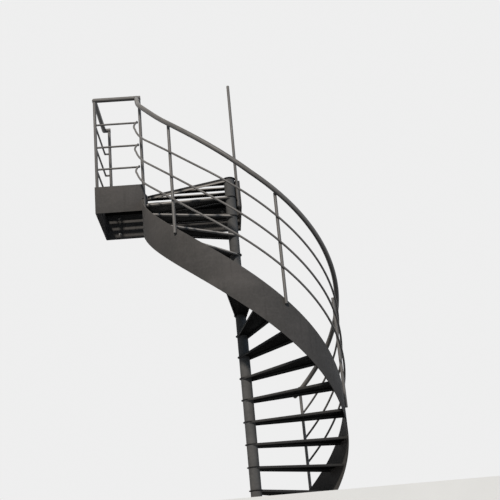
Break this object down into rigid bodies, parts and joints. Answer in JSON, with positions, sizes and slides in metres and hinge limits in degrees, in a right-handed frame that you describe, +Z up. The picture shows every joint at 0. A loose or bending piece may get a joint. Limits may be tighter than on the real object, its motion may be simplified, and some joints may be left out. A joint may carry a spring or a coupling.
{
  "type": "spiral staircase",
  "caption": "Exterior steel spiral stair with open wedge treads on a center column, a curved outer stringer, tubular handrail with mid rails, and a square guarded landing at the wall",
  "frame": {"origin": "center of the underside of the base plate, on the column's axis", "axes": "+Z up along the column; +Y towards the wall that carries the landing; -X towards the landing's guarded side"},
  "size_m": [2.0895, 1.598, 3.992],
  "materials": {
    "steel_face": "satin graphite paint on flat plate, slightly dusty",
    "steel_tread": "satin graphite paint, worn on the upper side",
    "steel_tube": "satin graphite paint on round tube",
    "steel_column": "satin graphite paint on pipe"
  },
  "bodies": {
    "root": {"base_plate": "steel_column", "center_pole": "steel_column", "column_cap": "steel_column", "tread_01": "steel_tread", "tread_02": "steel_tread", "tread_03": "steel_tread", "tread_04": "steel_tread", "tread_05": "steel_tread", "tread_06": "steel_tread", "tread_07": "steel_tread", "tread_08": "steel_tread", "tread_09": "steel_tread", "tread_10": "steel_tread", "tread_11": "steel_tread", "tread_12": "steel_tread", "tread_13": "steel_tread", "tread_14": "steel_tread", "tread_15": "steel_tread", "stringer_lower": "steel_face", "stringer_upper": "steel_face", "baluster_1": "steel_tube", "baluster_2": "steel_tube", "baluster_3": "steel_tube", "baluster_4": "steel_tube", "handrail": "steel_tube", "mid_rail_upper": "steel_tube", "mid_rail_middle": "steel_tube", "mid_rail_lower": "steel_tube", "landing_edge": "steel_tread", "landing_front_plate": "steel_face", "landing_left_plate": "steel_face", "landing_right_plate": "steel_face", "landing_wall_plate": "steel_face", "landing_planks": "steel_tread", "corner_post_left": "steel_tube", "corner_post_right": "steel_tube", "wall_post": "steel_tube", "newel_post": "steel_tube", "guard_top_rail": "steel_tube", "guard_rail_upper": "steel_tube", "guard_rail_middle": "steel_tube", "guard_rail_lower": "steel_tube"}
  },
  "joints": []
}
